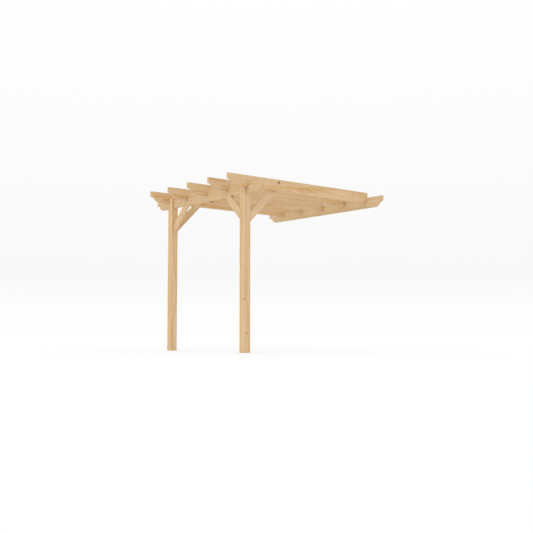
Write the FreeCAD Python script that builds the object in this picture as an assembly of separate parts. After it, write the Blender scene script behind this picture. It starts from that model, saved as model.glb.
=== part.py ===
# Lean-to garden pergola in planed softwood, fixed to a house wall.
#
# Two slotted posts carry a beam across the front, and a plate of the same board is fixed to
# the wall. Five rafters are cross-halved over the beam and the plate. Four knee braces
# stiffen the posts, two along the beam and two towards the wall.
#
# Millimetres. The origin is the centre of the wall plate's back face, on the wall.
# X runs along the wall, Y points into the wall and Z is up, so the ground is below.
import FreeCAD, Part
import math
import os

# Posts
POST_SIZE = 95.0
POST_CENTRES = 1636.0

# Boards: the beam, the wall plate and the rafters are all of one section
BOARD_THICKNESS = 35.0
BOARD_DEPTH = 145.0
BEAM_LENGTH = 2400.0
RAFTER_LENGTH = 2400.0

# Heights and overhang
HEADROOM = 1960.0           # ground to the underside of the beam
RAFTER_OVERHANG = 320.0     # rafter tip to the centre line of the beam
RAFTER_LAP = 72.5           # how far a rafter and the board under it share a height

# Rafters: one against the outer face of each post, the others set out from the left one
FIRST_BAY = 439.0
INNER_BAY = 460.0
INNER_RAFTERS = 3

# Knee braces, at 45 degrees
BRACE_THICKNESS = 35.0
BRACE_DEPTH = 88.0
BRACE_DROP = 352.0          # beam underside down to the heel of the brace on the post

# Shaped board ends: a plumb nose, a short shoulder, a cove, then a round into the underside
NOSE_HEIGHT = 73.0
SHOULDER_WIDTH = 11.0
COVE_RADIUS = 70.0
SWEEP_ANGLE = math.radians(55.0)

# Workmanship
ARRIS_RADIUS = 3.0          # eased long edges of the planed timber
JOINT_CLEARANCE = 0.5       # room across a slot or a notch

# Places that follow from the sizes above
BEAM_UNDERSIDE = -BOARD_DEPTH / 2
GROUND = BEAM_UNDERSIDE - HEADROOM
BEAM_TOP = BEAM_UNDERSIDE + BOARD_DEPTH
RAFTER_UNDERSIDE = BEAM_TOP - RAFTER_LAP
POST_Y = -(RAFTER_LENGTH - RAFTER_OVERHANG)
POST_X = POST_CENTRES / 2
OUTER_RAFTER_X = POST_X + POST_SIZE / 2 + BOARD_THICKNESS / 2
HEEL = BEAM_UNDERSIDE - BRACE_DROP
BRACE_SLOPE = FreeCAD.Vector(math.sqrt(0.5), 0, math.sqrt(0.5))


def point(x, z):
    """A point of a side outline, drawn in the XZ plane."""
    return FreeCAD.Vector(x, 0, z)


def line(start, end):
    """A straight edge of an outline."""
    return Part.makeLine(start, end)


def arc(centre, radius, first, last):
    """An edge on a circle about centre, from angle first to angle last in radians."""
    def on_circle(angle):
        return centre + point(radius * math.cos(angle), radius * math.sin(angle))
    return Part.Arc(on_circle(first), on_circle((first + last) / 2), on_circle(last)).toShape()


def block(x_size, y_size, z_size, corner):
    """A rectangular block with its lowest corner at corner."""
    return Part.makeBox(x_size, y_size, z_size, FreeCAD.Vector(*corner))


def ease_edges(solid, direction):
    """Round the long edges of a timber, which run along direction."""
    def runs_along(edge):
        return abs(abs(edge.tangentAt(edge.FirstParameter).dot(direction)) - 1) < 1e-6
    return solid.makeFillet(ARRIS_RADIUS, [edge for edge in solid.Edges if runs_along(edge)])


def end_waste():
    """The piece sawn off below the nose of a board that starts at X = 0, underside at Z = 0."""
    nose_foot = BOARD_DEPTH - NOSE_HEIGHT
    cove_run = COVE_RADIUS * math.sin(SWEEP_ANGLE)
    cove_drop = COVE_RADIUS * (1 - math.cos(SWEEP_ANGLE))
    round_radius = (nose_foot - cove_drop) / (1 - math.cos(SWEEP_ANGLE))
    cove_end = SHOULDER_WIDTH + cove_run
    underside_start = cove_end + round_radius * math.sin(SWEEP_ANGLE)
    saw_out = ARRIS_RADIUS
    cove_centre = point(SHOULDER_WIDTH, nose_foot - COVE_RADIUS)
    round_centre = point(underside_start, round_radius)
    quarter = math.pi / 2
    edges = [
        line(point(-saw_out, nose_foot), point(SHOULDER_WIDTH, nose_foot)),
        arc(cove_centre, COVE_RADIUS, quarter, quarter - SWEEP_ANGLE),
        arc(round_centre, round_radius, 3 * quarter - SWEEP_ANGLE, 3 * quarter),
        line(point(underside_start, 0), point(underside_start, -saw_out)),
        line(point(underside_start, -saw_out), point(-saw_out, -saw_out)),
        line(point(-saw_out, -saw_out), point(-saw_out, nose_foot)),
    ]
    face = Part.Face(Part.Wire(edges))
    return face.extrude(FreeCAD.Vector(0, BOARD_THICKNESS, 0))


def plain_board(length):
    """An eased board along X, from X = 0, Y = 0 and Z = 0."""
    return ease_edges(block(length, BOARD_THICKNESS, BOARD_DEPTH, (0, 0, 0)), FreeCAD.Vector(1, 0, 0))


def other_end(shape, length):
    """The same shape at the far end of a board of this length."""
    return shape.mirror(FreeCAD.Vector(length / 2, 0, 0), FreeCAD.Vector(1, 0, 0))


def rafter_positions():
    """X of each rafter's centre line, from left to right."""
    inner = [-OUTER_RAFTER_X + FIRST_BAY + INNER_BAY * index for index in range(INNER_RAFTERS)]
    return [-OUTER_RAFTER_X] + inner + [OUTER_RAFTER_X]


def cross_board():
    """The beam or the wall plate: both ends shaped, and halved from above for each rafter."""
    board = plain_board(BEAM_LENGTH)
    board = board.cut([end_waste(), other_end(end_waste(), BEAM_LENGTH)])
    notch_width = BOARD_THICKNESS + JOINT_CLEARANCE
    notch_depth = RAFTER_LAP / 2
    notches = [
        block(notch_width, BOARD_THICKNESS, notch_depth,
              (x + BEAM_LENGTH / 2 - notch_width / 2, 0, BOARD_DEPTH - notch_depth))
        for x in rafter_positions()
    ]
    return board.cut(notches)


def front_beam():
    """The beam, through the post slots."""
    board = cross_board()
    board.translate(FreeCAD.Vector(-BEAM_LENGTH / 2, POST_Y - BOARD_THICKNESS / 2, BEAM_UNDERSIDE))
    return board


def wall_plate():
    """The plate, flat on the wall at Y = 0."""
    board = cross_board()
    board.translate(FreeCAD.Vector(-BEAM_LENGTH / 2, -BOARD_THICKNESS, BEAM_UNDERSIDE))
    return board


def rafter(x):
    """A rafter at x, halved from below over the beam and at its end over the wall plate."""
    board = plain_board(RAFTER_LENGTH).cut(end_waste())
    notch_depth = RAFTER_LAP / 2
    beam_notch = BOARD_THICKNESS + JOINT_CLEARANCE
    plate_notch = BOARD_THICKNESS + JOINT_CLEARANCE / 2
    board = board.cut([
        block(beam_notch, BOARD_THICKNESS, notch_depth, (RAFTER_OVERHANG - beam_notch / 2, 0, 0)),
        block(plate_notch, BOARD_THICKNESS, notch_depth, (RAFTER_LENGTH - plate_notch, 0, 0)),
    ])
    board.rotate(FreeCAD.Vector(0, 0, 0), FreeCAD.Vector(0, 0, 1), 90)
    board.translate(FreeCAD.Vector(x + BOARD_THICKNESS / 2, -RAFTER_LENGTH, RAFTER_UNDERSIDE))
    return board


def post(side):
    """A post, slotted at the head for the beam. side is -1 on the left and 1 on the right."""
    length = HEADROOM + BOARD_DEPTH
    slot_width = BOARD_THICKNESS + JOINT_CLEARANCE
    corner = (side * POST_X - POST_SIZE / 2, POST_Y - POST_SIZE / 2, GROUND)
    timber = ease_edges(block(POST_SIZE, POST_SIZE, length, corner), FreeCAD.Vector(0, 0, 1))
    slot = block(POST_SIZE, slot_width, BOARD_DEPTH, (corner[0], POST_Y - slot_width / 2, BEAM_UNDERSIDE))
    return timber.cut(slot)


def brace(rise, top_outline):
    """A brace from the post's face at X = 0 and its heel at Z = 0, its far end as top_outline."""
    throat = BRACE_DEPTH * math.sqrt(2)
    corners = [point(0, 0), point(rise, rise)] + top_outline(rise, throat) + [point(0, throat)]
    wire = Part.makePolygon(corners + [corners[0]])
    timber = Part.Face(wire).extrude(FreeCAD.Vector(0, BRACE_THICKNESS, 0))
    return ease_edges(timber, BRACE_SLOPE)


def beam_brace(side):
    """The brace from a post's inner face up to the underside of the beam."""
    def level_cut(rise, throat):
        return [point(rise - throat, rise)]
    timber = brace(BRACE_DROP, level_cut)
    if side > 0:
        timber = timber.mirror(FreeCAD.Vector(0, 0, 0), FreeCAD.Vector(1, 0, 0))
    inner_face = side * (POST_X - POST_SIZE / 2)
    timber.translate(FreeCAD.Vector(inner_face, POST_Y - BRACE_THICKNESS / 2, HEEL))
    return timber


def rafter_brace(side):
    """The brace from a post's back face, lapped on the inner face of the outer rafter."""
    def plumb_cut(rise, throat):
        return [point(rise, rise + throat)]
    timber = brace(RAFTER_UNDERSIDE - HEEL, plumb_cut)
    timber.rotate(FreeCAD.Vector(0, 0, 0), FreeCAD.Vector(0, 0, 1), 90)
    timber.translate(FreeCAD.Vector(BRACE_THICKNESS, 0, 0))
    outer_face = side * (POST_X + POST_SIZE / 2)
    low_x = outer_face if side < 0 else outer_face - BRACE_THICKNESS
    timber.translate(FreeCAD.Vector(low_x, POST_Y + POST_SIZE / 2, HEEL))
    return timber


def build_parts():
    """Every timber, by its node name."""
    parts = {"front_beam": front_beam(), "wall_plate": wall_plate()}
    for side, hand in ((-1, "left"), (1, "right")):
        parts[hand + "_post"] = post(side)
        parts[hand + "_beam_brace"] = beam_brace(side)
        parts[hand + "_rafter_brace"] = rafter_brace(side)
    for index, x in enumerate(rafter_positions(), start=1):
        parts["rafter_" + str(index)] = rafter(x)
    return parts


os.makedirs("parts", exist_ok=True)
for name, shape in build_parts().items():
    shape.exportStep("parts/" + name + ".step")
    print(name, "valid" if shape.isValid() else "INVALID", len(shape.Solids), round(shape.Volume / 1e6, 3))
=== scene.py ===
"""Dresses the lean-to pergola in planed pine and sets its floor, light and camera.

Metres, in the part's own frame: the origin is on the wall at the middle of the wall plate,
X runs along the wall, Y points into the wall and Z is up.
"""
import logging
import math
from dataclasses import dataclass, field
from enum import Enum
from typing import Any

import bmesh
import bpy
from mathutils import Matrix, Vector


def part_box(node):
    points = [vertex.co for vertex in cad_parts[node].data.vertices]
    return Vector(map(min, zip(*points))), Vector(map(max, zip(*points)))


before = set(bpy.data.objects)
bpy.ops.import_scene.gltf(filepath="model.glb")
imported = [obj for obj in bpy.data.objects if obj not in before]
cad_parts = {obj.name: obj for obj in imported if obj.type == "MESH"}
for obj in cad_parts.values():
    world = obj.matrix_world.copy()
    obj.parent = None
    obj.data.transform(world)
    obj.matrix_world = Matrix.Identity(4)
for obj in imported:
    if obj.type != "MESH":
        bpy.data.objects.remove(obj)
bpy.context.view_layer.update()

LOG = logging.getLogger("pergola")
MM = 0.001
WHITE = (1.0, 1.0, 1.0, 1.0)

# What each knot adds to the wood around it, as the node groups name it
KNOT_FIELDS = ("Push", "Core", "Dead", "Rim", "Halo")

Socket = bpy.types.NodeSocket
Pair = tuple[float, float]
Triple = tuple[float, float, float]
Colour = Triple


def srgb(red: int, green: int, blue: int) -> Colour:
    """Turn a colour as it is seen into the linear values that shaders take.

    Args:
        red: the red part, from 0 to 255.
        green: the green part.
        blue: the blue part.

    Returns:
        The same colour in linear light, from 0 to 1.
    """
    def linear(value: int) -> float:
        """Return one part in linear light."""
        part = value / 255
        return part / 12.92 if part <= 0.04045 else ((part + 0.055) / 1.055) ** 2.4
    return linear(red), linear(green), linear(blue)


class Lay(Enum):
    """How a timber lies: the way its grain runs, and the way its thickness faces."""

    ALONG_WALL = ((1, 0, 0), (0, 1, 0))
    TO_WALL = ((0, 1, 0), (1, 0, 0))
    UPRIGHT = ((0, 0, 1), (0, 1, 0))
    RISING_RIGHT = ((1, 0, 1), (0, 1, 0))
    RISING_LEFT = ((-1, 0, 1), (0, 1, 0))
    RISING_BACK = ((0, 1, 1), (1, 0, 0))

    def axes(self) -> Matrix:
        """Work out the timber's own axes.

        Returns:
            A rotation matrix with grain, width and thickness as its rows.
        """
        grain = Vector(self.value[0]).normalized()
        thickness = Vector(self.value[1])
        return Matrix((grain, thickness.cross(grain), thickness))


class Side(Enum):
    """The face of a timber that a knot or a streak shows on.

    FRONT and BACK are the faces that the thickness runs from and to, LEFT and RIGHT those of
    the width. Each value holds the axis across the face, the axis of its depth and which way
    is out, with 1 for the width and 2 for the thickness.
    """

    FRONT = (1, 2, -1.0)
    BACK = (1, 2, 1.0)
    LEFT = (2, 1, -1.0)
    RIGHT = (2, 1, 1.0)


class Graph:
    """Adds nodes to one node tree and joins them."""

    NOISE_RANGE = (0.3, 0.7)
    MIX_FACTOR, MIX_FIRST, MIX_SECOND, MIX_RESULT = 0, 6, 7, 2

    def __init__(self, tree: bpy.types.NodeTree) -> None:
        """Keep the tree that the nodes go into."""
        self.tree = tree

    def feed(self, socket: Socket, value: Any) -> None:
        """Link another socket to this one, or set it to a plain value.

        Args:
            socket: the input that takes the value.
            value: an output socket, a number, a vector or a colour.
        """
        if isinstance(value, bpy.types.NodeSocket):
            self.tree.links.new(value, socket)
        else:
            socket.default_value = value

    def add(self, kind: str, inputs: dict[str, Any] | None = None, **settings: Any) -> bpy.types.Node:
        """Add a node.

        Args:
            kind: the node's type name, such as "ShaderNodeMath".
            inputs: what goes into its inputs, by their names.
            settings: values for the node's own properties.

        Returns:
            The new node.
        """
        node = self.tree.nodes.new(kind)
        for name, value in settings.items():
            setattr(node, name, value)
        for name, value in (inputs or {}).items():
            self.feed(node.inputs[name], value)
        return node

    def fill(self, node: bpy.types.Node, *values: Any) -> bpy.types.Node:
        """Feed a node's first inputs in order.

        Args:
            node: the node to fill.
            values: what goes into its inputs.

        Returns:
            The same node.
        """
        for socket, value in zip(node.inputs, values):
            self.feed(socket, value)
        return node

    def math(self, operation: str, *values: Any, clamp: bool = False) -> Socket:
        """Return the result of a Math node on one to three numbers."""
        node = self.add("ShaderNodeMath", operation=operation, use_clamp=clamp)
        return self.fill(node, *values).outputs[0]

    def times(self, first: Any, *others: Any) -> Socket:
        """Multiply numbers.

        Args:
            first: the first number.
            others: the numbers that it is multiplied by, one after another.

        Returns:
            The socket with their product.
        """
        for other in others:
            first = self.math("MULTIPLY", first, other)
        return first

    def bell(self, value: Any, steepness: float) -> Socket:
        """Return a bell curve: 1 where the value is 0, and falling away on both sides."""
        return self.math("EXPONENT", self.times(value, value, -steepness))

    def vector(self, operation: str, *values: Any) -> Socket:
        """Return the vector result of a Vector Math node."""
        return self.fill(self.add("ShaderNodeVectorMath", operation=operation), *values).outputs[0]

    def dot(self, first: Any, second: Any) -> Socket:
        """Return the dot product of two vectors."""
        node = self.add("ShaderNodeVectorMath", operation="DOT_PRODUCT")
        return self.fill(node, first, second).outputs["Value"]

    def combine(self, x: Any, y: Any, z: Any) -> Socket:
        """Return a vector made of three numbers."""
        return self.fill(self.add("ShaderNodeCombineXYZ"), x, y, z).outputs[0]

    def separate(self, value: Any) -> list[Socket]:
        """Return the three numbers of a vector."""
        return list(self.fill(self.add("ShaderNodeSeparateXYZ"), value).outputs)

    def noise(self, place: Any, scale: float, detail: float, roughness: float) -> Socket:
        """Return a smooth noise from 0 to 1, with scale features to a unit and finer layers."""
        inputs = {"Vector": place, "Scale": scale, "Detail": detail, "Roughness": roughness}
        return self.add("ShaderNodeTexNoise", inputs).outputs["Fac"]

    def smooth(self, value: Any, low: float, high: float,
               start: float = 0.0, end: float = 1.0) -> Socket:
        """Return a value eased from start to end as the input goes from low to high."""
        node = self.add("ShaderNodeMapRange", interpolation_type="SMOOTHSTEP")
        return self.fill(node, value, low, high, start, end).outputs[0]

    def spread(self, noise: Any, start: float, end: float) -> Socket:
        """Return a noise, which keeps near its middle, spread from start to end."""
        return self.smooth(noise, *self.NOISE_RANGE, start, end)

    def sway(self, noise: Any, reach: float) -> Socket:
        """Return a noise spread about zero, as far as reach each way."""
        return self.spread(noise, -reach, reach)

    def mix(self, factor: Any, first: Any, second: Any, blend: str = "MIX") -> Socket:
        """Mix two colours.

        Args:
            factor: how far the second colour shows, from 0 to 1.
            first: the colour underneath.
            second: the colour on top.
            blend: the Mix node's way of blending.

        Returns:
            The socket with the colour.
        """
        node = self.add("ShaderNodeMix", data_type="RGBA", blend_type=blend, clamp_factor=True)
        self.feed(node.inputs[self.MIX_FACTOR], factor)
        for index, value in ((self.MIX_FIRST, first), (self.MIX_SECOND, second)):
            self.feed(node.inputs[index], (*value, 1.0) if isinstance(value, tuple) else value)
        return node.outputs[self.MIX_RESULT]

    def ramp(self, factor: Any, stops: list[tuple[float, Colour]]) -> Socket:
        """Look a colour up on a ramp.

        Args:
            factor: where on the ramp, from 0 to 1.
            stops: places and their colours, from low to high.

        Returns:
            The socket with the colour.
        """
        node = self.fill(self.add("ShaderNodeValToRGB"), factor)
        elements = node.color_ramp.elements
        while len(elements) < len(stops):
            elements.new(0.5)  # each is moved to its own place below
        for element, (place, colour) in zip(elements, stops):
            element.position = place
            element.color = (*colour, 1.0)
        return node.outputs[0]


class Group(Graph):
    """A node group's graph, with the group's inputs and results at hand."""

    def __init__(self, name: str, takes: dict[str, str], gives: dict[str, str]) -> None:
        """Start the group.

        Args:
            name: the group's name.
            takes: its inputs and their kinds, such as "Float".
            gives: its outputs and their kinds.
        """
        super().__init__(bpy.data.node_groups.new(name, "ShaderNodeTree"))
        for way, sockets in (("INPUT", takes), ("OUTPUT", gives)):
            for socket, kind in sockets.items():
                self.tree.interface.new_socket(socket, in_out=way, socket_type="NodeSocket" + kind)
        self.given = self.add("NodeGroupInput").outputs
        self.result = self.add("NodeGroupOutput").inputs


class WoodGroup(Group):
    """The group that paints solid pine.

    It takes a place in the timber and the fields of its knots and streaks, and gives colour,
    roughness and the height of the grain. seeded is the place moved by the timber's seed.
    """

    def __init__(self) -> None:
        """Start the group and move the place by the seed."""
        takes = dict.fromkeys(("Place", "Pith", "Lean", "Seed", "Tint"), "Vector")
        takes.update(dict.fromkeys((*KNOT_FIELDS, "Band", "End"), "Float"))
        super().__init__("planed_pine", takes,
                         {"Colour": "Color", "Roughness": "Float", "Height": "Float"})
        self.seeded = self.vector("ADD", self.given["Place"], self.given["Seed"])


def empty_graph(owner: bpy.types.Material | bpy.types.World) -> Graph:
    """Clear the nodes of a material or a world.

    Args:
        owner: the material or world.

    Returns:
        The graph of its empty node tree.
    """
    owner.use_nodes = True
    owner.node_tree.nodes.clear()
    return Graph(owner.node_tree)


@dataclass(frozen=True)
class Pattern:
    """A noise in the wood.

    along and across are how many features there are to a metre along the grain and across it,
    detail is the number of finer layers and roughness how strong they are.
    """

    along: float
    across: float
    detail: float = 2.0
    roughness: float = 0.5

    def at(self, graph: Graph, place: Any) -> Socket:
        """Return the noise at a place given as grain, width and thickness."""
        stretched = graph.vector("MULTIPLY", place, (self.along, self.across, self.across))
        return graph.noise(stretched, 1.0, self.detail, self.roughness)


@dataclass(frozen=True)
class RingPattern:
    """A noise that changes only with the distance from the pith.

    scale is how many features there are to a metre, and layer is a number of the pattern's
    own, which keeps it apart from the others.
    """

    scale: float
    layer: float
    detail: float = 2.0
    roughness: float = 0.5

    def at(self, graph: WoodGroup, radius: Socket) -> Socket:
        """Look the noise up.

        Args:
            graph: the graph of the wood.
            radius: the distance from the pith.

        Returns:
            The socket with the noise, from 0 to 1.
        """
        _, _, shift = graph.separate(graph.given["Seed"])
        place = graph.combine(graph.times(radius, self.scale), shift, self.layer)
        return graph.noise(place, 1.0, self.detail, self.roughness)


@dataclass(frozen=True)
class Wander:
    """How the pith strays one way: how often to a metre, how far, and a place of its own."""

    scale: float
    reach: float
    apart: Triple

    def at(self, graph: WoodGroup) -> Socket:
        """Return how far the pith strays beside the place."""
        along = graph.vector("MULTIPLY_ADD", graph.seeded, (1.0, 0.0, 0.0), self.apart)
        return graph.sway(graph.noise(along, self.scale, 1.0, 0.5), self.reach)


@dataclass(frozen=True)
class Rings:
    """The growth rings about the pith line.

    Each ring darkens over late_rise and falls back over late_fall, as shares of its width. Its
    darkness is least_contrast with up to more_contrast added. drift_reach is how many rings
    the count strays by, and bands are broader and run over many rings.
    """

    width: float = 4.2 * MM
    sideways: Wander = Wander(0.9, 26 * MM, (0.0, 3.7, 0.0))
    through: Wander = Wander(1.1, 14 * MM, (0.0, 0.0, 8.1))
    wobble: Pattern = Pattern(2.6, 26.0, 2.0, 0.55)
    wobble_reach: float = 2.4 * MM
    drift: RingPattern = RingPattern(38.0, 0.0)
    drift_reach: float = 1.6
    late_rise: Pair = (0.30, 0.90)
    late_fall: Pair = (0.93, 1.0)
    least_contrast: float = 0.32
    more_contrast: float = 0.5
    bands: RingPattern = RingPattern(85.0, 4.0, 1.0)
    band_shade: Pair = (0.06, 0.38)

    def radius(self, graph: WoodGroup) -> Socket:
        """Find the distance from the pith, which leans and wanders.

        Args:
            graph: the graph of the wood.

        Returns:
            The socket with the distance, with the knots' push added.
        """
        place, pith, lean = (graph.given[name] for name in ("Place", "Pith", "Lean"))
        length, _, _ = graph.separate(place)
        moved = graph.vector("MULTIPLY", lean, graph.combine(length, length, length))
        from_pith = graph.vector("SUBTRACT", graph.vector("SUBTRACT", place, pith), moved)
        _, width, thickness = graph.separate(from_pith)
        width = graph.math("ADD", width, self.sideways.at(graph))
        thickness = graph.math("ADD", thickness, self.through.at(graph))
        squares = graph.math("ADD", graph.times(width, width), graph.times(thickness, thickness))
        wobble = graph.sway(self.wobble.at(graph, graph.seeded), self.wobble_reach)
        radius = graph.math("ADD", graph.math("SQRT", squares), wobble)
        return graph.math("ADD", radius, graph.given["Push"])

    def darkness(self, graph: WoodGroup, radius: Socket) -> Socket:
        """Find how dark the wood is, from early to late in each ring.

        Args:
            graph: the graph of the wood.
            radius: the distance from the pith.

        Returns:
            The socket with the darkness, from about 0 to 1.
        """
        drift = graph.sway(self.drift.at(graph, radius), self.drift_reach)
        phase = graph.math("ADD", graph.math("DIVIDE", radius, self.width), drift)
        part = graph.math("FRACT", phase)
        late = graph.times(graph.smooth(part, *self.late_rise),
                           graph.smooth(part, *self.late_fall, 1.0, 0.0))
        _, _, shift = graph.separate(graph.given["Seed"])
        each = graph.add("ShaderNodeTexWhiteNoise", noise_dimensions="2D")
        graph.feed(each.inputs["Vector"], graph.combine(graph.math("FLOOR", phase), shift, 0.0))
        more = graph.times(each.outputs["Value"], self.more_contrast)
        contrast = graph.math("ADD", self.least_contrast, more)
        bands = graph.spread(self.bands.at(graph, radius), *self.band_shade)
        return graph.math("ADD", graph.times(late, contrast), bands)


@dataclass(frozen=True)
class Gold:
    """The golden tint of resinous wood, in broad bands of rings and in streaks given one by one.

    Bands show where their noise passes band_edges, as strongly as band_strength allows. A
    streak fades in over fade_in and out over fade_out, as shares of its length.
    """

    tint: Colour = (0.93, 0.81, 0.54)
    bands: RingPattern = RingPattern(40.0, 9.0, 2.0, 0.45)
    band_edges: Pair = (0.47, 0.66)
    fading: Pattern = Pattern(1.6, 9.0, 1.0)
    band_strength: Pair = (0.1, 0.62)
    fibre_share: Pair = (0.82, 1.12)
    steepness: float = 2.8
    fade_in: Pair = (-0.1, 0.2)
    fade_out: Pair = (0.8, 1.1)
    waver: Pattern = Pattern(6.0, 0.0)
    waver_reach: float = 3 * MM

    def streak_group(self) -> bpy.types.NodeTree:
        """Build the group that tells how far a point lies in one golden streak.

        Returns:
            A group that takes the place on the face and the streak's own line, width and
            strength, and gives the streak's mask.
        """
        takes = ("Along", "Across", "Start", "End", "First", "Last", "Width", "Strength")
        graph = Group("pine_streak", dict.fromkeys(takes, "Float"), {"Band": "Float"})
        along, across, start, end, first, last, width, strength = (graph.given[name] for name in takes)
        length = graph.math("SUBTRACT", end, start)
        part = graph.math("DIVIDE", graph.math("SUBTRACT", along, start), length)
        line = graph.math("MULTIPLY_ADD", part, graph.math("SUBTRACT", last, first), first)
        off = graph.math("DIVIDE", graph.math("SUBTRACT", across, line), width)
        ends = graph.times(graph.smooth(part, *self.fade_in),
                           graph.smooth(part, *self.fade_out, 1.0, 0.0))
        band = graph.times(graph.bell(off, self.steepness), ends, strength)
        graph.feed(graph.result["Band"], band)
        return graph.tree

    def paint(self, graph: WoodGroup, wood: Socket, radius: Socket, fibres: Socket) -> Socket:
        """Tint the wood where its bands and its streaks are golden.

        Args:
            graph: the graph of the wood.
            wood: the colour so far.
            radius: the distance from the pith.
            fibres: the finest lines of the grain.

        Returns:
            The socket with the colour.
        """
        bands = graph.smooth(self.bands.at(graph, radius), *self.band_edges)
        fading = graph.spread(self.fading.at(graph, graph.seeded), *self.band_strength)
        strength = graph.math("MAXIMUM", graph.times(bands, fading), graph.given["Band"])
        factor = graph.times(strength, graph.spread(fibres, *self.fibre_share))
        return graph.mix(factor, wood, self.tint, "MULTIPLY")


@dataclass(frozen=True)
class KnotFinish:
    """What a knot looks like, and what it does to the wood around it.

    edge, rim_inside, rim_outside, halo_end and push_reach are distances from the knot's middle,
    counted in its radius. push is how far the rings are moved there, in the same measure. fade
    is how gently a knot ends inside the timber. The covers tell how far the wood is hidden.
    """

    tight: Colour = srgb(172, 120, 66)
    dead: Colour = srgb(124, 52, 22)
    rim: Colour = srgb(106, 46, 18)
    halo: Colour = srgb(206, 160, 104)
    core_cover: float = 0.88
    rim_cover: float = 0.8
    halo_cover: float = 0.42
    edge: Pair = (0.82, 1.12)
    rim_inside: Pair = (0.66, 0.95)
    rim_outside: Pair = (1.0, 1.25)
    halo_end: float = 3.2
    push_reach: float = 2.4
    push: float = 1.5
    fade: float = 12 * MM
    stir: Pattern = Pattern(55.0, 55.0)
    stir_range: Pair = (0.82, 1.18)
    mottle: Pattern = Pattern(420.0, 420.0)
    mottle_range: Pair = (0.72, 1.12)

    def group(self) -> bpy.types.NodeTree:
        """Build the group that tells how near a point is to one knot.

        Returns:
            A group that takes the way from the knot's middle to the point, the knot's radius,
            stretch and looseness, and how its outline is stirred. It gives how far the rings
            are pushed aside, and the masks of the knot, its dead part, its rim and its halo.
        """
        takes = ("Along", "Across", "Outward", "Radius", "Stretch", "Loose", "Stir")
        graph = Group("pine_knot", dict.fromkeys(takes, "Float"), dict.fromkeys(KNOT_FIELDS, "Float"))
        along, across, outward, radius, stretch, loose, stir = (graph.given[name] for name in takes)
        along = graph.math("DIVIDE", along, stretch)
        squares = graph.math("MULTIPLY_ADD", along, along, graph.times(across, across))
        relative = graph.math("DIVIDE", graph.times(graph.math("SQRT", squares), stir), radius)
        outside = graph.smooth(outward, 0.0, self.fade)
        bell = graph.bell(graph.math("DIVIDE", relative, self.push_reach), 1.0)
        core = graph.times(graph.smooth(relative, *self.edge, 1.0, 0.0), outside)
        inner = graph.times(graph.smooth(relative, *self.rim_inside), outside)
        outer = graph.smooth(relative, *self.rim_outside, 1.0, 0.0)
        halo = graph.smooth(relative, 1.0, self.halo_end, 1.0, 0.0)
        fields = {"Push": graph.times(bell, radius, self.push, outside), "Core": core,
                  "Dead": graph.times(core, loose), "Rim": graph.times(inner, outer, loose),
                  "Halo": graph.times(halo, outside)}
        for name, value in fields.items():
            graph.feed(graph.result[name], value)
        return graph.tree

    def paint(self, graph: WoodGroup, wood: Socket) -> Socket:
        """Paint the timber's knots and the darker wood around them.

        Args:
            graph: the graph of the wood.
            wood: the colour of the clear wood.

        Returns:
            The socket with the colour.
        """
        wood = graph.mix(graph.times(graph.given["Halo"], self.halo_cover), wood, self.halo)
        mottle = graph.spread(self.mottle.at(graph, graph.seeded), *self.mottle_range)
        core = graph.mix(graph.given["Dead"], self.tight, self.dead)
        core = graph.mix(1.0, core, graph.combine(mottle, mottle, mottle), "MULTIPLY")
        wood = graph.mix(graph.times(graph.given["Core"], self.core_cover), wood, core)
        return graph.mix(graph.times(graph.given["Rim"], self.rim_cover), wood, self.rim)


@dataclass(frozen=True)
class PineGroups:
    """The node groups that the timbers' materials share, and the finish that they carry out."""

    finish: "PlanedPine"
    wood: bpy.types.NodeTree
    knot: bpy.types.NodeTree
    streak: bpy.types.NodeTree


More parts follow.
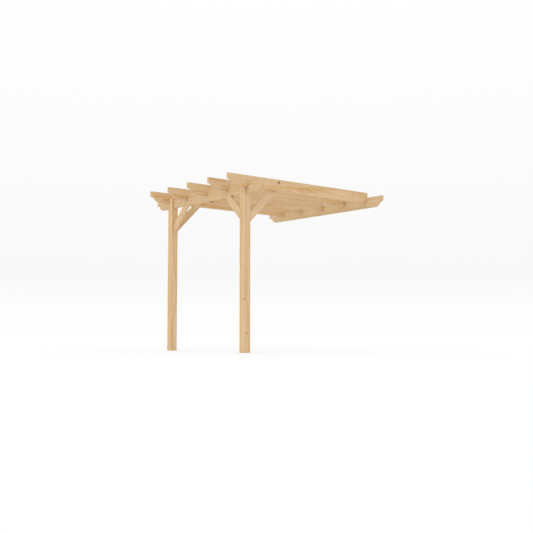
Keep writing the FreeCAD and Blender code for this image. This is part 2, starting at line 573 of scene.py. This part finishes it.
@dataclass(frozen=True)
class PlanedPine:
    """Planed softwood, solid through: rings about a pith line, fibres, knots and end grain.

    fibres are the finest lines, pencilling is broader and blush is where the wood turns rosy.
    end_facing tells how squarely a surface cuts the grain where end grain begins and where it
    is full. seed_steps tells how a timber's seed moves its patterns along each axis.
    """

    early: Colour = srgb(229, 201, 160)
    middle: Colour = srgb(220, 188, 142)
    late: Colour = srgb(200, 157, 103)
    rosy: Colour = srgb(232, 196, 166)
    middle_shade: float = 0.45
    rings: Rings = Rings()
    gold: Gold = Gold()
    knots: KnotFinish = KnotFinish()
    fibres: Pattern = Pattern(7.0, 620.0, 3.0, 0.6)
    fibre_shade: float = 0.10
    pencilling: Pattern = Pattern(0.9, 46.0, 3.0, 0.6)
    pencil_shade: float = 0.16
    blush: Pattern = Pattern(1.3, 22.0)
    most_blush: float = 0.26
    end_mottle: Pattern = Pattern(260.0, 260.0, 3.0, 0.6)
    end_range: Pair = (0.92, 1.07)
    end_blue: float = 0.95
    end_facing: Pair = (0.3, 0.95)
    seed_steps: Triple = (1.0, 0.37, 1.71)
    roughness: float = 0.52
    pencil_roughness: Pair = (-0.05, 0.06)
    end_roughness: float = 0.22
    knot_polish: float = 0.12
    specular: float = 0.35
    ring_relief: float = 0.55
    fibre_relief: float = 0.35
    pores: Pattern = Pattern(900.0, 900.0, 2.0, 0.7)
    pore_relief: Pair = (-0.7, 0.3)
    relief_strength: float = 0.35
    relief_height: float = 0.4 * MM

    def build(self) -> PineGroups:
        """Return the node groups that all the timbers share."""
        return PineGroups(self, self.wood_group(), self.knots.group(), self.gold.streak_group())

    def wood_group(self) -> bpy.types.NodeTree:
        """Build the group that paints solid pine.

        Returns:
            The group's node tree.
        """
        graph = WoodGroup()
        radius = self.rings.radius(graph)
        darkness = self.rings.darkness(graph, radius)
        fibres = self.fibres.at(graph, graph.seeded)
        pencilling = self.pencilling.at(graph, graph.seeded)
        shade = graph.math("ADD", darkness, graph.sway(fibres, self.fibre_shade))
        shade = graph.math("ADD", shade, graph.sway(pencilling, self.pencil_shade), clamp=True)
        wood = self.gold.paint(graph, self.clear_wood(graph, shade), radius, fibres)
        wood = self.cut_ends(graph, self.knots.paint(graph, wood))
        graph.feed(graph.result["Colour"], graph.mix(1.0, wood, graph.given["Tint"], "MULTIPLY"))
        graph.feed(graph.result["Roughness"], self.polish(graph, pencilling))
        graph.feed(graph.result["Height"], self.relief(graph, darkness, fibres))
        return graph.tree

    def clear_wood(self, graph: WoodGroup, shade: Socket) -> Socket:
        """Colour the wood between the knots.

        Args:
            graph: the graph of the wood.
            shade: how dark the wood is, from 0 to 1.

        Returns:
            The socket with the colour.
        """
        stops = [(0.0, self.early), (self.middle_shade, self.middle), (1.0, self.late)]
        blush = graph.spread(self.blush.at(graph, graph.seeded), 0.0, self.most_blush)
        return graph.mix(blush, graph.ramp(shade, stops), self.rosy)

    def cut_ends(self, graph: WoodGroup, wood: Socket) -> Socket:
        """Mottle the wood where the grain is cut across.

        Args:
            graph: the graph of the wood.
            wood: the colour so far.

        Returns:
            The socket with the colour.
        """
        mottle = graph.spread(self.end_mottle.at(graph, graph.seeded), *self.end_range)
        warm = graph.combine(mottle, mottle, graph.times(mottle, self.end_blue))
        return graph.mix(graph.given["End"], wood, graph.mix(1.0, wood, warm, "MULTIPLY"))

    def polish(self, graph: WoodGroup, pencilling: Socket) -> Socket:
        """Find the roughness, which is more on end grain and less on knots.

        Args:
            graph: the graph of the wood.
            pencilling: the broader lines of the grain.

        Returns:
            The socket with the roughness.
        """
        rough = graph.math("ADD", self.roughness, graph.spread(pencilling, *self.pencil_roughness))
        rough = graph.math("ADD", rough, graph.times(graph.given["End"], self.end_roughness))
        return graph.math("SUBTRACT", rough, graph.times(graph.given["Core"], self.knot_polish))

    def relief(self, graph: WoodGroup, darkness: Socket, fibres: Socket) -> Socket:
        """Find the height of the grain, with open pores where it is cut across.

        Args:
            graph: the graph of the wood.
            darkness: how dark the rings are.
            fibres: the finest lines of the grain.

        Returns:
            The socket with the height, for a bump.
        """
        height = graph.math("ADD", graph.times(darkness, self.ring_relief),
                            graph.sway(fibres, self.fibre_relief))
        pores = graph.spread(self.pores.at(graph, graph.seeded), *self.pore_relief)
        return graph.math("ADD", height, graph.times(pores, graph.given["End"]))


@dataclass(frozen=True)
class Knot:
    """One knot: where its middle lies on a timber, and how wide it is.

    along and across are measured from the timber's middle, along the grain and across the
    face that the knot comes out of. loose is 1 for a dark, dead knot and 0 for a tight one,
    stretch is how many times longer than wide it is, and reach is how far it goes back past
    the middle of the timber.
    """

    along: float
    across: float
    radius: float
    side: Side = Side.FRONT
    loose: float = 0.5
    stretch: float = 1.25
    reach: float = 30 * MM

    def inputs(self, graph: Graph, parts: list[Socket]) -> dict[str, Any]:
        """Say where the knot lies from a point, given as grain, width and thickness."""
        across, depth, outward = self.side.value
        return {"Along": graph.math("SUBTRACT", parts[0], self.along),
                "Across": graph.math("SUBTRACT", parts[across], self.across),
                "Outward": graph.math("MULTIPLY_ADD", parts[depth], outward, self.reach),
                "Radius": self.radius, "Stretch": self.stretch, "Loose": self.loose}


@dataclass(frozen=True)
class Streak:
    """One golden streak along a face, from start to end along the grain.

    first and last are where it lies across the face at its two ends. All four are measured
    from the timber's middle.
    """

    start: float
    end: float
    first: float
    last: float
    width: float
    strength: float = 0.8
    side: Side = Side.BACK

    def inputs(self, parts: list[Socket]) -> dict[str, Any]:
        """Say how the streak lies from a point, given as grain, width and thickness."""
        return {"Along": parts[0], "Across": parts[self.side.value[0]], "Start": self.start,
                "End": self.end, "First": self.first, "Last": self.last, "Width": self.width,
                "Strength": self.strength}


@dataclass
class Timber:
    """One timber of the frame: how its grain runs, its tint, knots and golden streaks.

    pith is where the tree's middle ran, across the width and the thickness, and lean is how
    far it moves sideways for each metre along. seed gives the timber a grain of its own.
    """

    node: str
    lay: Lay
    pith: Pair
    seed: float
    lean: Pair = (0.0, 0.0)
    tint: Colour = (1.0, 1.0, 1.0)
    knots: list[Knot] = field(default_factory=list)
    streaks: list[Streak] = field(default_factory=list)

    def dress(self, groups: PineGroups) -> None:
        """Give the timber's own mesh its material.

        Args:
            groups: the pine's node groups.
        """
        material = bpy.data.materials.new("pine_" + self.node)
        graph = empty_graph(material)
        self.surface(graph, self.wood(graph, groups), groups.finish)
        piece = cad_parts[self.node]
        piece.data.materials.clear()
        piece.data.materials.append(material)
        LOG.info("%s: pine with %d knots and %d streaks", self.node, len(self.knots),
                 len(self.streaks))

    def place(self, graph: Graph) -> Socket:
        """Find where a point lies in the timber.

        Args:
            graph: the material's graph.

        Returns:
            The socket with the place from the timber's middle, as grain, width and thickness.
        """
        axes = self.lay.axes()
        low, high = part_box(self.node)
        point = graph.add("ShaderNodeTexCoord").outputs["Object"]
        mapping = graph.add("ShaderNodeMapping", {"Vector": point, "Rotation": axes.to_euler("XYZ"),
                                                  "Location": -(axes @ ((low + high) / 2))})
        return mapping.outputs[0]

    def wood(self, graph: Graph, groups: PineGroups) -> bpy.types.Node:
        """Add the timber's own pine.

        Args:
            graph: the material's graph.
            groups: the pine's node groups.

        Returns:
            The node that gives colour, roughness and height.
        """
        finish = groups.finish
        place = self.place(graph)
        normal = graph.add("ShaderNodeNewGeometry").outputs["True Normal"]
        facing = graph.math("ABSOLUTE", graph.dot(normal, tuple(self.lay.axes()[0])))
        inputs = {"Place": place, "Pith": (0.0, *self.pith), "Lean": (0.0, *self.lean),
                  "Seed": [self.seed * step for step in finish.seed_steps], "Tint": self.tint,
                  "Band": self.streak_field(graph, place, groups),
                  "End": graph.smooth(facing, *finish.end_facing)}
        inputs.update(self.knot_fields(graph, place, groups))
        return graph.add("ShaderNodeGroup", inputs, node_tree=groups.wood)

    def surface(self, graph: Graph, body: bpy.types.Node, finish: PlanedPine) -> None:
        """Join the pine to a surface shader.

        Args:
            graph: the material's graph.
            body: the node that gives colour, roughness and height.
            finish: the finish of the wood.
        """
        bump = graph.add("ShaderNodeBump", {"Strength": finish.relief_strength,
                                            "Distance": finish.relief_height,
                                            "Height": body.outputs["Height"]})
        shader = graph.add("ShaderNodeBsdfPrincipled", {"Base Color": body.outputs["Colour"],
                                                        "Roughness": body.outputs["Roughness"],
                                                        "Specular IOR Level": finish.specular,
                                                        "Normal": bump.outputs[0]})
        graph.add("ShaderNodeOutputMaterial", {"Surface": shader.outputs[0]})

    def knot_fields(self, graph: Graph, place: Socket, groups: PineGroups) -> dict[str, Any]:
        """Join the fields of all the timber's knots.

        Args:
            graph: the material's graph.
            place: the point in the timber.
            groups: the pine's node groups.

        Returns:
            The push and the masks of core, dead part, rim and halo over the whole timber.
        """
        totals: dict[str, Any] = dict.fromkeys(KNOT_FIELDS, 0.0)
        if not self.knots:
            return totals
        finish = groups.finish.knots
        parts = graph.separate(place)
        stir = graph.spread(finish.stir.at(graph, place), *finish.stir_range)
        for knot in self.knots:
            inputs = {**knot.inputs(graph, parts), "Stir": stir}
            node = graph.add("ShaderNodeGroup", inputs, node_tree=groups.knot)
            for name in KNOT_FIELDS:
                joined = "ADD" if name == "Push" else "MAXIMUM"
                totals[name] = graph.math(joined, totals[name], node.outputs[name])
        return totals

    def streak_field(self, graph: Graph, place: Socket, groups: PineGroups) -> Any:
        """Join the masks of all the timber's golden streaks.

        Args:
            graph: the material's graph.
            place: the point in the timber.
            groups: the pine's node groups.

        Returns:
            How far the point lies in a streak, from 0 to 1.
        """
        total: Any = 0.0
        if not self.streaks:
            return total
        finish = groups.finish.gold
        waver = graph.sway(finish.waver.at(graph, place), finish.waver_reach)
        along, width, thickness = graph.separate(place)
        parts = [along, graph.math("ADD", width, waver), graph.math("ADD", thickness, waver)]
        for streak in self.streaks:
            node = graph.add("ShaderNodeGroup", streak.inputs(parts), node_tree=groups.streak)
            total = graph.math("MAXIMUM", total, node.outputs["Band"])
        return total


class Assembly:
    """A part of the frame whose timbers are dressed together."""

    def timbers(self) -> list[Timber]:
        """List the timbers."""
        raise NotImplementedError

    def dress(self, groups: PineGroups) -> None:
        """Give every timber its material."""
        for timber in self.timbers():
            timber.dress(groups)


def shallow(along: float, across: float, radius: float, side: Side, loose: float) -> Knot:
    """Return a knot that stays near its own face and doesn't come through to the other."""
    return Knot(along, across, radius, side, loose, reach=5 * MM)


@dataclass
class Posts(Assembly):
    """The two posts.

    Both were sawn beside the same pith, and both have gold along one arris of the right face.
    """

    pith: Pair = (-0.05, 0.06)
    half: float = 1.20
    arris: Pair = (0.045, 0.044)
    arris_width: float = 9 * MM

    def arris_gold(self, strength: float) -> Streak:
        """Return the streak that runs the whole height beside the arris."""
        return Streak(-self.half, self.half, *self.arris, self.arris_width, strength, Side.RIGHT)

    def timbers(self) -> list[Timber]:
        """List the posts.

        Returns:
            The left and the right post, with their knots and streaks.
        """
        left = Timber("left_post", Lay.UPRIGHT, self.pith, 17.74, lean=(0.004, 0.006), knots=[
            Knot(-1.000, -0.027, 5 * MM, loose=0.3),
            Knot(0.31, 0.018, 8 * MM, Side.BACK, 0.4),
            Knot(-0.52, -0.010, 10 * MM, Side.BACK, 0.8),
            Knot(0.62, 0.021, 7 * MM, Side.LEFT, 0.3),
            Knot(-0.23, -0.012, 9 * MM, Side.LEFT, 0.6),
        ], streaks=[
            Streak(-1.12, -0.62, -0.030, -0.029, 18 * MM, 0.95, Side.RIGHT),
            Streak(-0.70, -0.20, -0.032, -0.031, 12 * MM, 0.5, Side.RIGHT),
            Streak(-0.15, 0.50, 0.030, 0.028, 20 * MM, 0.45, Side.RIGHT),
            self.arris_gold(0.5),
            Streak(-0.95, -0.33, -0.018, -0.016, 16 * MM, 0.6, Side.FRONT),
        ])
        right = Timber("right_post", Lay.UPRIGHT, self.pith, 32.08, lean=(-0.005, 0.004), knots=[
            Knot(-0.396, -0.034, 7.5 * MM, Side.RIGHT, 0.45),
            Knot(-0.385, 0.038, 4 * MM, Side.FRONT, 0.1, 2.2),
            Knot(-0.816, -0.012, 8 * MM, Side.RIGHT, 0.45),
            Knot(0.28, -0.019, 8 * MM, Side.BACK, 0.5),
            Knot(-0.64, 0.012, 9 * MM, Side.LEFT, 0.7),
            Knot(0.47, 0.008, 7 * MM, Side.LEFT, 0.3),
        ], streaks=[
            Streak(-0.39, -0.03, -0.019, -0.020, 22 * MM, 0.95, Side.RIGHT),
            Streak(-0.05, 0.28, -0.021, -0.024, 16 * MM, 0.35, Side.RIGHT),
            Streak(-0.80, -0.42, 0.007, 0.005, 17 * MM, 0.9, Side.RIGHT),
            Streak(-1.16, -0.88, 0.034, 0.032, 15 * MM, 0.9, Side.RIGHT),
            Streak(0.10, 0.45, -0.031, -0.030, 12 * MM, 0.55, Side.RIGHT),
            self.arris_gold(0.6),
            Streak(-self.half, self.half, -0.024, -0.022, 18 * MM, 0.4, Side.FRONT),
        ])
        return [left, right]


@dataclass
class CrossBoards(Assembly):
    """The front beam and the wall plate.

    The beam has a streak of gold near its top in three bays, each given as its start, its end
    and where it lies at the end.
    """

    bays: tuple[Triple, ...] = ((-0.74, -0.46, -0.051), (-0.24, 0.04, -0.052), (0.16, 0.46, -0.050))
    bay_first: float = -0.054
    bay_width: float = 20 * MM
    bay_strength: float = 0.5
    beam_tint: Colour = (0.95, 0.96, 0.95)
    plate_tint: Colour = (0.91, 0.925, 0.9)

    def timbers(self) -> list[Timber]:
        """List the two boards.

        Returns:
            The beam and the plate, with their knots and streaks. The beam's first knot is painted shade.
        """
        gold = [Streak(start, end, self.bay_first, last, self.bay_width, self.bay_strength, Side.FRONT)
                for start, end, last in self.bays]
        beam = Timber("front_beam", Lay.ALONG_WALL, (-0.01, 0.05), 23.88, (0.012, 0.003),
                      self.beam_tint, streaks=gold, knots=[
                          # Painted shade: this dark knot on the beam's bottom edge, where the right beam
                          # brace meets it, stands for the shadow in that corner.
                          Knot(0.577, 0.070, 10 * MM, loose=0.6),
                          shallow(0.63, -0.034, 9 * MM, Side.BACK, 0.6),
                          shallow(-0.36, 0.041, 7 * MM, Side.BACK, 0.4),
                      ])
        plate = Timber("wall_plate", Lay.ALONG_WALL, (0.015, 0.045), 11.58, (-0.012, 0.004),
                       self.plate_tint, knots=[
                           shallow(0.99, -0.040, 7 * MM, Side.BACK, 0.7),
                           shallow(-0.28, 0.020, 9 * MM, Side.BACK, 0.5),
                       ])
        return [beam, plate]


@dataclass
class Rafters(Assembly):
    """The five rafters. The three on the left share a tint."""

    left_tint: Colour = (0.97, 0.96, 0.945)
    fourth_tint: Colour = (0.95, 0.94, 0.92)
    fifth_tint: Colour = (1.0, 0.98, 0.955)

    def timbers(self) -> list[Timber]:
        """List the rafters.

        Returns:
            The rafters from left to right, with their knots and streaks.
        """
        return [
            Timber("rafter_1", Lay.TO_WALL, (0.03, -0.05), 62.97, (0.03, 0.0), self.left_tint, knots=[
                Knot(-0.335, -0.024, 6 * MM, Side.BACK, 0.0, 3.2),
                shallow(0.71, 0.031, 8 * MM, Side.FRONT, 0.6),
            ], streaks=[
                Streak(-1.16, -0.87, 0.004, 0.012, 24 * MM, 0.95),
                Streak(-1.04, -0.88, -0.026, -0.022, 12 * MM),
                Streak(-0.30, 0.20, -0.050, -0.042, 17 * MM, 0.9),
                Streak(0.76, 1.16, -0.050, -0.036, 14 * MM),
                Streak(-0.28, 0.00, -0.026, -0.022, 12 * MM, 0.9),
            ]),
            Timber("rafter_2", Lay.TO_WALL, (-0.04, -0.06), 46.78, (0.04, 0.004), self.left_tint, knots=[
                Knot(-0.500, -0.060, 8 * MM, Side.BACK, 0.15, 3.4),
                shallow(0.24, 0.020, 6 * MM, Side.FRONT, 0.3),
            ], streaks=[
                Streak(-1.06, -0.90, -0.046, -0.036, 28 * MM),
                Streak(0.55, 0.90, -0.056, -0.050, 13 * MM),
                Streak(0.36, 0.64, -0.020, -0.010, 13 * MM),
                Streak(-0.44, -0.18, -0.038, -0.010, 16 * MM, 0.6),
            ]),
            Timber("rafter_3", Lay.TO_WALL, (0.05, 0.05), 33.96, (0.035, -0.004), self.left_tint, knots=[
                shallow(0.58, -0.030, 7 * MM, Side.FRONT, 0.5),
                shallow(-0.22, 0.044, 5 * MM, Side.FRONT, 0.3),
            ], streaks=[
                Streak(-1.15, -0.95, -0.042, -0.021, 18 * MM),
                Streak(-1.20, -1.00, 0.020, 0.030, 14 * MM),
                Streak(0.16, 0.48, -0.044, -0.026, 16 * MM, 0.7),
            ]),
            Timber("rafter_4", Lay.TO_WALL, (0.02, -0.07), 13.77, (0.03, 0.0), self.fourth_tint, knots=[
                Knot(-0.965, 0.038, 5 * MM, Side.BACK, 0.0),
                shallow(0.33, 0.028, 7 * MM, Side.FRONT, 0.6),
            ], streaks=[
                Streak(-1.22, -0.94, 0.046, 0.058, 18 * MM, 0.9),
                Streak(-1.02, -0.88, -0.058, -0.050, 20 * MM),
                Streak(0.14, 0.64, -0.014, -0.008, 16 * MM, 0.9),
                Streak(0.70, 1.18, -0.010, -0.020, 20 * MM, 1.0),
            ]),
            Timber("rafter_5", Lay.TO_WALL, (-0.03, -0.05), 25.09, (0.08, 0.004), self.fifth_tint, knots=[
                Knot(-0.402, 0.035, 11 * MM, Side.BACK, 1.0),
                shallow(0.77, -0.036, 6 * MM, Side.FRONT, 0.3),
            ], streaks=[
                Streak(-0.72, -0.10, -0.040, -0.002, 20 * MM, 0.85),
                Streak(-0.30, 0.26, -0.008, 0.003, 25 * MM, 1.0),
                Streak(0.06, 0.64, -0.003, 0.058, 14 * MM, 0.85),
                Streak(0.40, 1.20, 0.060, 0.055, 13 * MM, 0.95),
                Streak(-0.16, 0.28, -0.030, -0.024, 18 * MM, 0.5),
                Streak(0.04, 0.46, 0.030, 0.055, 8 * MM, 0.6),
                Streak(-1.10, -0.86, -0.064, -0.056, 18 * MM, 0.9),
                Streak(-1.04, -0.76, -0.014, 0.028, 9 * MM, 0.6),
            ]),
        ]


@dataclass
class KneeBraces(Assembly):
    """The four knee braces. All are pale, apart from the left one under its rafter, whose darker tint is
    painted shade.
    """

    pale: Colour = (1.02, 1.04, 1.07)
    # Painted shade: a darker, less blue tint for the left rafter brace under its rafter.
    painted_shade_tint: Colour = (0.95, 0.98, 1.0)

    def timbers(self) -> list[Timber]:
        """List the braces.

        Returns:
            The two along the beam and the two towards the wall, with their knots.
        """
        return [
            Timber("left_beam_brace", Lay.RISING_RIGHT, (0.0, 0.04), 57.36, (0.03, 0.0), self.pale),
            Timber("right_beam_brace", Lay.RISING_LEFT, (0.01, 0.04), 34.97, (-0.02, 0.0), self.pale),
            # The left rafter brace takes the painted shade tint.
            Timber("left_rafter_brace", Lay.RISING_BACK, (0.0, -0.04), 40.92, (0.02, 0.0), self.painted_shade_tint,
                   knots=[shallow(0.06, 0.014, 6 * MM, Side.FRONT, 0.5)]),
            Timber("right_rafter_brace", Lay.RISING_BACK, (-0.01, -0.04), 57.02, (-0.03, 0.0), self.pale,
                   knots=[shallow(-0.12, -0.016, 5 * MM, Side.FRONT, 0.3)]),
        ]


@dataclass
class Studio:
    """The pale floor, the soft light and the camera at the photograph's angle.

    azimuth, pitch and sun_angle are in degrees, and the lens and sensor in millimetres.
    floor_reach is from the floor's middle to its edge, and floor_lift is the light that it
    gives off to the eye alone. haze lists how bright the backdrop is seen at each height, as
    the sine of the angle above the horizon.
    """

    camera_place: Triple = (8.904, -8.315, -1.773)
    azimuth: float = 50.879
    pitch: float = 4.463
    focal_length: float = 56.29
    sensor: float = 36.0
    floor_reach: float = 60.0
    floor_shade: float = 0.85
    floor_lift: float = 0.14
    sky_level: float = 0.96
    haze: tuple[Pair, ...] = ((0.0, 0.991), (0.016, 0.992), (0.032, 0.979), (0.062, 0.942),
                              (0.11, 0.951), (0.2, 0.968), (0.3, 0.984), (0.4, 1.0))
    sun_level: float = 0.35
    sun_angle: float = 40.0
    sun_direction: Triple = (-0.2, 1.0, -0.6)

    def build(self) -> None:
        """Make the floor, the world, the lamp and the camera."""
        self.floor()
        self.world()
        self.sun()
        self.camera()

    def seen_directly(self, graph: Graph) -> Socket:
        """Tell apart the rays that show a surface to the eye, in gloss or through glass.

        Args:
            graph: the graph of a material or the world.

        Returns:
            The socket with 1 for those rays and 0 for the rest.
        """
        rays = graph.add("ShaderNodeLightPath").outputs
        seen = graph.math("MAXIMUM", rays["Is Camera Ray"], rays["Is Glossy Ray"])
        return graph.math("MAXIMUM", seen, rays["Is Transmission Ray"])

    def floor(self) -> None:
        """Lay a pale floor under the posts' feet."""
        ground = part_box("left_post")[0].z
        shape = bmesh.new()
        bmesh.ops.create_grid(shape, x_segments=1, y_segments=1, size=self.floor_reach,
                              matrix=Matrix.Translation((0, 0, ground)))
        mesh = bpy.data.meshes.new("floor")
        shape.to_mesh(mesh)
        shape.free()
        mesh.materials.append(self.floor_paint())
        piece = bpy.data.objects.new("floor", mesh)
        bpy.context.collection.objects.link(piece)
        LOG.info("floor: pale, %.3f m below the origin", -ground)

    def floor_paint(self) -> bpy.types.Material:
        """Mix the floor's material.

        Returns:
            A matt paint that takes shadows and is lifted a little towards white for the eye.
        """
        material = bpy.data.materials.new("pale_floor")
        graph = empty_graph(material)
        matt = graph.add("ShaderNodeBsdfDiffuse", {"Color": (*[self.floor_shade] * 3, 1.0)})
        lift = graph.times(self.seen_directly(graph), self.floor_lift)
        glow = graph.add("ShaderNodeEmission", {"Color": WHITE, "Strength": lift})
        both = graph.fill(graph.add("ShaderNodeAddShader"), matt.outputs[0], glow.outputs[0])
        graph.add("ShaderNodeOutputMaterial", {"Surface": both.outputs[0]})
        return material

    def world(self) -> None:
        """Light from all round, with a white, faintly hazy backdrop for the eye."""
        world = bpy.data.worlds.new("studio")
        bpy.context.scene.world = world
        graph = empty_graph(world)
        light = graph.add("ShaderNodeBackground", {"Color": WHITE, "Strength": self.sky_level})
        _, _, rise = graph.separate(graph.add("ShaderNodeTexCoord").outputs["Generated"])
        shades = [(height, (shade, shade, shade)) for height, shade in self.haze]
        backdrop = graph.add("ShaderNodeBackground", {"Color": graph.ramp(rise, shades), "Strength": 1.0})
        both = graph.fill(graph.add("ShaderNodeMixShader"), self.seen_directly(graph),
                          light.outputs[0], backdrop.outputs[0])
        graph.add("ShaderNodeOutputWorld", {"Surface": both.outputs[0]})
        LOG.info("world: white, with %d shades of haze", len(self.haze))

    def sun(self) -> None:
        """Hang one broad soft lamp in front, above and a little to the right."""
        lamp = bpy.data.lights.new("key", "SUN")
        lamp.energy = self.sun_level
        lamp.angle = math.radians(self.sun_angle)
        piece = bpy.data.objects.new("key", lamp)
        piece.rotation_euler = Vector(self.sun_direction).to_track_quat("-Z", "Y").to_euler()
        bpy.context.collection.objects.link(piece)
        LOG.info("key: a soft sun, %.0f degrees wide", self.sun_angle)

    def camera(self) -> None:
        """Stand the camera where the photograph was taken from."""
        turn, tilt = math.radians(self.azimuth), math.radians(self.pitch)
        level = math.cos(tilt)
        forward = Vector((-math.sin(turn) * level, math.cos(turn) * level, math.sin(tilt)))
        lens = bpy.data.cameras.new("camera")
        lens.lens = self.focal_length
        lens.sensor_width = self.sensor
        lens.sensor_fit = "HORIZONTAL"
        piece = bpy.data.objects.new("camera", lens)
        piece.location = self.camera_place
        piece.rotation_euler = forward.to_track_quat("-Z", "Y").to_euler()
        bpy.context.collection.objects.link(piece)
        bpy.context.scene.camera = piece
        LOG.info("camera: %.1f mm lens", self.focal_length)


def main() -> None:
    """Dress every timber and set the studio."""
    logging.basicConfig(level=logging.INFO, format="%(message)s")
    bpy.context.scene.view_settings.view_transform = "Standard"
    groups = PlanedPine().build()
    for assembly in (Posts(), CrossBoards(), Rafters(), KneeBraces()):
        assembly.dress(groups)
    Studio().build()


if __name__ == "__main__":
    main()
